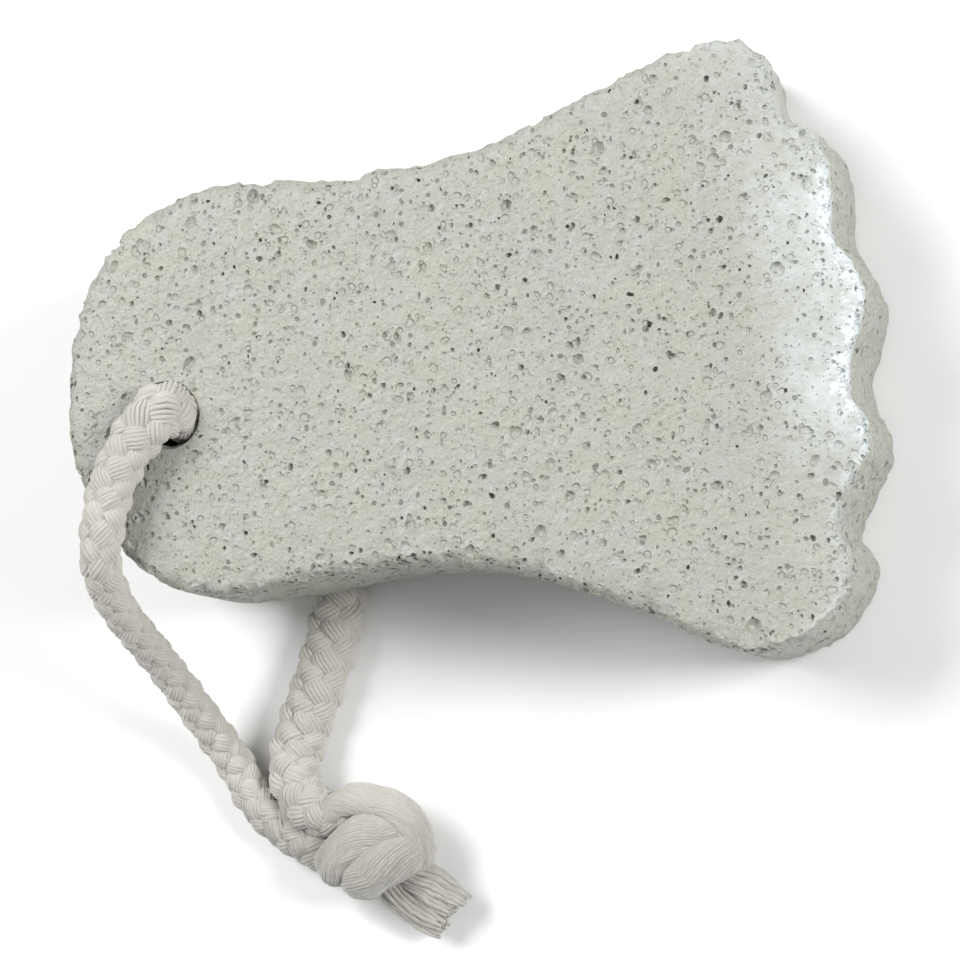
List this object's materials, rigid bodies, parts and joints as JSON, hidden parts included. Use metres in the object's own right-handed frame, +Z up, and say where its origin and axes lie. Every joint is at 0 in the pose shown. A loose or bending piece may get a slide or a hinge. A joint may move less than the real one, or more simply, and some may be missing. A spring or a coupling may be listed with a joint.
{
  "type": "pumice stone",
  "caption": "Foot-shaped pumice stone for the bath, drilled at the heel and hung on a knotted loop of braided cotton rope.",
  "frame": {"origin": "centre of the stone's bounding box, at the height of the surface it lies on", "axes": "+X from the heel to the toes, +Y towards the big toe's side, +Z up"},
  "size_m": [0.0974, 0.1049, 0.0346],
  "materials": {
    "pumice": "rough, open bubbles",
    "cotton": "braided, undyed"
  },
  "bodies": {
    "root": {"pumice_stone": "pumice", "rope": "cotton", "knot": "cotton"}
  },
  "joints": []
}
